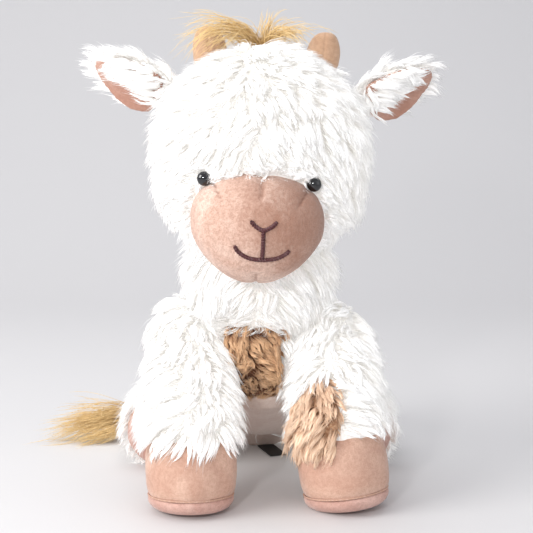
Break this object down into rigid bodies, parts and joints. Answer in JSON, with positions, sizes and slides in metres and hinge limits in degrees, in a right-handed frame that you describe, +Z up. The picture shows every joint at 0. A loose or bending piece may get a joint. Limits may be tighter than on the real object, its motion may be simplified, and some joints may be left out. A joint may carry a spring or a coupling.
{
  "type": "seated plush goat",
  "caption": "Seated plush goat toy with shaggy fur, velour muzzle, hooves and horns, stitched face, side ears, hair forelock and tail; sewn head, ears, legs and tail flex.",
  "frame": {"origin": "on the ground at the middle of the seat, under the rump", "axes": "+Z up, the goat faces -Y, its own left side is +X"},
  "size_m": [0.279, 0.2477, 0.3005],
  "materials": {
    "fur": "matte",
    "stuffing": "matte",
    "velour": "matte",
    "sole_velour": "matte",
    "curly_plush": "matte",
    "belly_velour": "matte",
    "hair": "matte",
    "thread": "matte",
    "eye_plastic": "gloss",
    "washer_plastic": "satin",
    "pellet_cloth": "matte",
    "label_cloth": "satin"
  },
  "bodies": {
    "torso": {"torso_shell": "fur", "torso_stuffing": "stuffing", "pellet_bag": "pellet_cloth", "chest_patch": "curly_plush", "belly_panel": "belly_velour", "care_label": "label_cloth"},
    "neck": {"neck_sleeve": "fur", "neck_stuffing": "stuffing"},
    "head": {"head_shell": "fur", "head_stuffing": "stuffing", "muzzle_shell": "velour", "muzzle_stuffing": "stuffing", "nose_stitch": "thread", "lip_stitch": "thread", "smile_stitch": "thread", "eye_left": "eye_plastic", "eye_right": "eye_plastic", "eye_washer_left": "washer_plastic", "eye_washer_right": "washer_plastic", "horn_left": "velour", "horn_right": "velour", "forelock": "hair"},
    "ear_left": {"ear_outer_left": "fur", "ear_lining_left": "velour"},
    "ear_right": {"ear_outer_right": "fur", "ear_lining_right": "velour"},
    "tail": {"tail_cord": "fur", "tail_tuft": "hair"},
    "front_leg_left": {"front_leg_left_sleeve": "fur", "front_leg_left_stuffing": "stuffing", "front_leg_left_hoof": "velour", "front_leg_left_sole": "sole_velour", "front_leg_left_patch": "curly_plush"},
    "front_leg_right": {"front_leg_right_sleeve": "fur", "front_leg_right_stuffing": "stuffing", "front_leg_right_hoof": "velour", "front_leg_right_sole": "sole_velour"},
    "hind_leg_left": {"hind_leg_left_sleeve": "fur", "hind_leg_left_stuffing": "stuffing", "hind_leg_left_hoof": "velour", "hind_leg_left_sole": "sole_velour"},
    "hind_leg_right": {"hind_leg_right_sleeve": "fur", "hind_leg_right_stuffing": "stuffing", "hind_leg_right_hoof": "velour", "hind_leg_right_sole": "sole_velour"}
  },
  "joints": [
    {"name": "neck_nod", "type": "hinge", "parent": "torso", "child": "neck", "pos_m": [0, -0.097, 0.14], "axis": [1, 0, 0], "range_deg": [-15, 12], "stiffness_Nm_per_rad": 4},
    {"name": "head_turn", "type": "hinge", "parent": "neck", "child": "head", "pos_m": [0, -0.097, 0.14], "axis": [0, 0, 1], "range_deg": [-35, 35], "stiffness_Nm_per_rad": 1},
    {"name": "ear_left_flap", "type": "hinge", "parent": "head", "child": "ear_left", "pos_m": [0.06141, -0.1, 0.24994], "axis": [0, -1, 0], "range_deg": [-30, 15], "stiffness_Nm_per_rad": 0.15},
    {"name": "ear_right_flap", "type": "hinge", "parent": "head", "child": "ear_right", "pos_m": [-0.05498, -0.1, 0.25604], "axis": [0, 1, 0], "range_deg": [-30, 15], "stiffness_Nm_per_rad": 0.15},
    {"name": "front_leg_left_swing", "type": "hinge", "parent": "torso", "child": "front_leg_left", "pos_m": [0.048, -0.097, 0.09889], "axis": [-1, 0, 0], "range_deg": [-4, 45], "stiffness_Nm_per_rad": 2.5},
    {"name": "front_leg_right_swing", "type": "hinge", "parent": "torso", "child": "front_leg_right", "pos_m": [-0.048, -0.097, 0.09889], "axis": [-1, 0, 0], "range_deg": [-4, 45], "stiffness_Nm_per_rad": 2.5},
    {"name": "hind_leg_left_spread", "type": "hinge", "parent": "torso", "child": "hind_leg_left", "pos_m": [0.058, -0.004, 0.028], "axis": [0, 0, 1], "range_deg": [0, 30], "stiffness_Nm_per_rad": 1.5},
    {"name": "hind_leg_right_spread", "type": "hinge", "parent": "torso", "child": "hind_leg_right", "pos_m": [-0.058, -0.004, 0.028], "axis": [0, 0, -1], "range_deg": [0, 30], "stiffness_Nm_per_rad": 1.5},
    {"name": "tail_swing", "type": "hinge", "parent": "torso", "child": "tail", "pos_m": [0, 0.04652, 0.024], "axis": [0, 0, -1], "range_deg": [0, 60], "stiffness_Nm_per_rad": 0.05}
  ]
}
